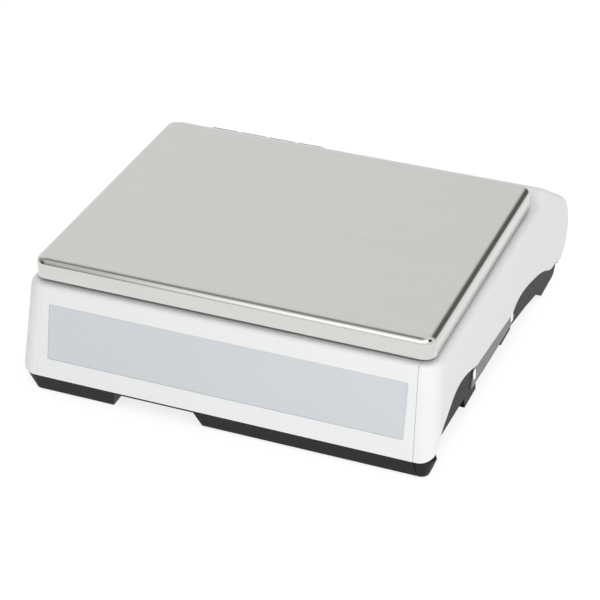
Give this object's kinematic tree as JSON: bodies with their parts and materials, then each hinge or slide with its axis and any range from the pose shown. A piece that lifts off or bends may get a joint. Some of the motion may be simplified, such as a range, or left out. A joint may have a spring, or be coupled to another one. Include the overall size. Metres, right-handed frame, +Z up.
{
  "type": "retail price scale",
  "caption": "Low retail scale with a lift-off stainless platter, a customer window in front, an operator console with keys behind, and levelling feet.",
  "frame": {"origin": "centre of the bounding box footprint, on the counter top under the feet", "axes": "+X to the right of the customer, +Y from the customer towards the operator, +Z up"},
  "size_m": [0.3517, 0.368, 0.118],
  "materials": {
    "base_plastic": "fine grained charcoal ABS",
    "housing_plastic": "smooth satin white ABS",
    "window": "light grey tinted acrylic, satin",
    "lcd_glass": "reflective display glass",
    "circuit_board": "green solder mask",
    "switch_plastic": "black nylon",
    "key_plastic": "moulded grey keys",
    "level_clear": "clear acrylic with tinted liquid",
    "level_rim": "polished rim",
    "steel": "grey painted casting",
    "stainless": "satin stainless, fine brush",
    "load_cell_alloy": "machined",
    "cast_alloy": "as cast",
    "fastener_steel": "zinc plated",
    "foot_steel": "zinc plated",
    "cable_jacket": "PVC jacket",
    "plate_metal": "satin anodised blank plate",
    "sticker": "white paper seal, blank",
    "rubber": "moulded rubber"
  },
  "bodies": {
    "housing": {"base_tray": "base_plastic", "front_skirt": "base_plastic", "upper_cover": "housing_plastic", "front_panel": "housing_plastic", "front_window": "window", "customer_lcd": "lcd_glass", "customer_board": "circuit_board", "operator_window": "window", "operator_lcd": "lcd_glass", "console_board": "circuit_board", "key_switches": "switch_plastic", "level_ring": "level_rim", "level_vial": "level_clear", "main_board": "circuit_board", "chassis_plate": "steel", "load_cell_fixed_end": "load_cell_alloy", "load_cell_fixed_screws": "fastener_steel", "overload_stop": "fastener_steel", "load_cell_cable": "cable_jacket", "battery": "switch_plastic", "power_switch_frame": "switch_plastic", "dc_jack": "switch_plastic", "serial_port": "fastener_steel", "data_plate": "plate_metal", "seal_stickers": "sticker", "cover_screws": "fastener_steel", "frame_screws": "fastener_steel", "board_screws": "fastener_steel"},
    "weighing_platform": {"spider": "cast_alloy", "load_cell_free_end": "load_cell_alloy", "load_cell_free_screws": "fastener_steel", "platter_pads": "rubber"},
    "platter": {"platter": "stainless"},
    "battery_door": {"battery_door": "base_plastic"},
    "power_rocker": {"power_rocker": "switch_plastic"},
    "foot_pad_1": {"foot_pad_1": "rubber"},
    "foot_stud_1": {"foot_stud_1": "foot_steel"},
    "foot_pad_2": {"foot_pad_2": "rubber"},
    "foot_stud_2": {"foot_stud_2": "foot_steel"},
    "foot_pad_3": {"foot_pad_3": "rubber"},
    "foot_stud_3": {"foot_stud_3": "foot_steel"},
    "foot_pad_4": {"foot_pad_4": "rubber"},
    "foot_stud_4": {"foot_stud_4": "foot_steel"},
    "key_7": {"key_7": "key_plastic"},
    "key_8": {"key_8": "key_plastic"},
    "key_9": {"key_9": "key_plastic"},
    "key_tare": {"key_tare": "key_plastic"},
    "key_4": {"key_4": "key_plastic"},
    "key_5": {"key_5": "key_plastic"},
    "key_6": {"key_6": "key_plastic"},
    "key_zero": {"key_zero": "key_plastic"},
    "key_1": {"key_1": "key_plastic"},
    "key_2": {"key_2": "key_plastic"},
    "key_3": {"key_3": "key_plastic"},
    "key_memory": {"key_memory": "key_plastic"},
    "key_0": {"key_0": "key_plastic"},
    "key_point": {"key_point": "key_plastic"},
    "key_clear": {"key_clear": "key_plastic"},
    "key_total": {"key_total": "key_plastic"}
  },
  "joints": [
    {"name": "weigh_travel", "type": "slide", "parent": "housing", "child": "weighing_platform", "axis": [0, 0, -1], "range_m": [0, 0.0005], "stiffness_N_per_m": 300000, "springref_m": -0.00003},
    {"name": "platter_lift", "type": "slide", "parent": "weighing_platform", "child": "platter", "axis": [0, 0, 1], "range_m": [0, 0.06]},
    {"name": "battery_door_slide", "type": "slide", "parent": "housing", "child": "battery_door", "axis": [0, -1, 0], "range_m": [0, 0.06]},
    {"name": "power_rocker_tilt", "type": "hinge", "parent": "housing", "child": "power_rocker", "pos_m": [-0.1704, -0.125, 0.0435], "axis": [0, 0, -1], "range_deg": [0, 16]},
    {"name": "foot_travel_1", "type": "slide", "parent": "housing", "child": "foot_pad_1", "axis": [0, 0, -1], "range_m": [0, 0.005]},
    {"name": "foot_turn_1", "type": "hinge", "parent": "foot_pad_1", "child": "foot_stud_1", "pos_m": [0.14, -0.15, 0.006], "axis": [0, 0, -1], "range_deg": [0, 1450]},
    {"name": "foot_travel_2", "type": "slide", "parent": "housing", "child": "foot_pad_2", "axis": [0, 0, -1], "range_m": [0, 0.005]},
    {"name": "foot_turn_2", "type": "hinge", "parent": "foot_pad_2", "child": "foot_stud_2", "pos_m": [-0.14, -0.15, 0.006], "axis": [0, 0, -1], "range_deg": [0, 1450]},
    {"name": "foot_travel_3", "type": "slide", "parent": "housing", "child": "foot_pad_3", "axis": [0, 0, -1], "range_m": [0, 0.005]},
    {"name": "foot_turn_3", "type": "hinge", "parent": "foot_pad_3", "child": "foot_stud_3", "pos_m": [0.157, 0.116, 0.006], "axis": [0, 0, -1], "range_deg": [0, 1450]},
    {"name": "foot_travel_4", "type": "slide", "parent": "housing", "child": "foot_pad_4", "axis": [0, 0, -1], "range_m": [0, 0.005]},
    {"name": "foot_turn_4", "type": "hinge", "parent": "foot_pad_4", "child": "foot_stud_4", "pos_m": [-0.157, 0.116, 0.006], "axis": [0, 0, -1], "range_deg": [0, 1450]},
    {"name": "key_7_press", "type": "slide", "parent": "housing", "child": "key_7", "axis": [0, -0.5373, -0.8434], "range_m": [0, 0.0012], "stiffness_N_per_m": 500, "springref_m": -0.0006},
    {"name": "key_8_press", "type": "slide", "parent": "housing", "child": "key_8", "axis": [0, -0.5373, -0.8434], "range_m": [0, 0.0012], "stiffness_N_per_m": 500, "springref_m": -0.0006},
    {"name": "key_9_press", "type": "slide", "parent": "housing", "child": "key_9", "axis": [0, -0.5373, -0.8434], "range_m": [0, 0.0012], "stiffness_N_per_m": 500, "springref_m": -0.0006},
    {"name": "key_tare_press", "type": "slide", "parent": "housing", "child": "key_tare", "axis": [0, -0.5373, -0.8434], "range_m": [0, 0.0012], "stiffness_N_per_m": 500, "springref_m": -0.0006},
    {"name": "key_4_press", "type": "slide", "parent": "housing", "child": "key_4", "axis": [0, -0.5373, -0.8434], "range_m": [0, 0.0012], "stiffness_N_per_m": 500, "springref_m": -0.0006},
    {"name": "key_5_press", "type": "slide", "parent": "housing", "child": "key_5", "axis": [0, -0.5373, -0.8434], "range_m": [0, 0.0012], "stiffness_N_per_m": 500, "springref_m": -0.0006},
    {"name": "key_6_press", "type": "slide", "parent": "housing", "child": "key_6", "axis": [0, -0.5373, -0.8434], "range_m": [0, 0.0012], "stiffness_N_per_m": 500, "springref_m": -0.0006},
    {"name": "key_zero_press", "type": "slide", "parent": "housing", "child": "key_zero", "axis": [0, -0.5373, -0.8434], "range_m": [0, 0.0012], "stiffness_N_per_m": 500, "springref_m": -0.0006},
    {"name": "key_1_press", "type": "slide", "parent": "housing", "child": "key_1", "axis": [0, -0.5373, -0.8434], "range_m": [0, 0.0012], "stiffness_N_per_m": 500, "springref_m": -0.0006},
    {"name": "key_2_press", "type": "slide", "parent": "housing", "child": "key_2", "axis": [0, -0.5373, -0.8434], "range_m": [0, 0.0012], "stiffness_N_per_m": 500, "springref_m": -0.0006},
    {"name": "key_3_press", "type": "slide", "parent": "housing", "child": "key_3", "axis": [0, -0.5373, -0.8434], "range_m": [0, 0.0012], "stiffness_N_per_m": 500, "springref_m": -0.0006},
    {"name": "key_memory_press", "type": "slide", "parent": "housing", "child": "key_memory", "axis": [0, -0.5373, -0.8434], "range_m": [0, 0.0012], "stiffness_N_per_m": 500, "springref_m": -0.0006},
    {"name": "key_0_press", "type": "slide", "parent": "housing", "child": "key_0", "axis": [0, -0.5373, -0.8434], "range_m": [0, 0.0012], "stiffness_N_per_m": 500, "springref_m": -0.0006},
    {"name": "key_point_press", "type": "slide", "parent": "housing", "child": "key_point", "axis": [0, -0.5373, -0.8434], "range_m": [0, 0.0012], "stiffness_N_per_m": 500, "springref_m": -0.0006},
    {"name": "key_clear_press", "type": "slide", "parent": "housing", "child": "key_clear", "axis": [0, -0.5373, -0.8434], "range_m": [0, 0.0012], "stiffness_N_per_m": 500, "springref_m": -0.0006},
    {"name": "key_total_press", "type": "slide", "parent": "housing", "child": "key_total", "axis": [0, -0.5373, -0.8434], "range_m": [0, 0.0012], "stiffness_N_per_m": 500, "springref_m": -0.0006}
  ],
  "couplings": [
    {"joint": "foot_turn_1", "follows": "foot_travel_1", "rad_per_m": 5026.5},
    {"joint": "foot_turn_2", "follows": "foot_travel_2", "rad_per_m": 5026.5},
    {"joint": "foot_turn_3", "follows": "foot_travel_3", "rad_per_m": 5026.5},
    {"joint": "foot_turn_4", "follows": "foot_travel_4", "rad_per_m": 5026.5}
  ]
}
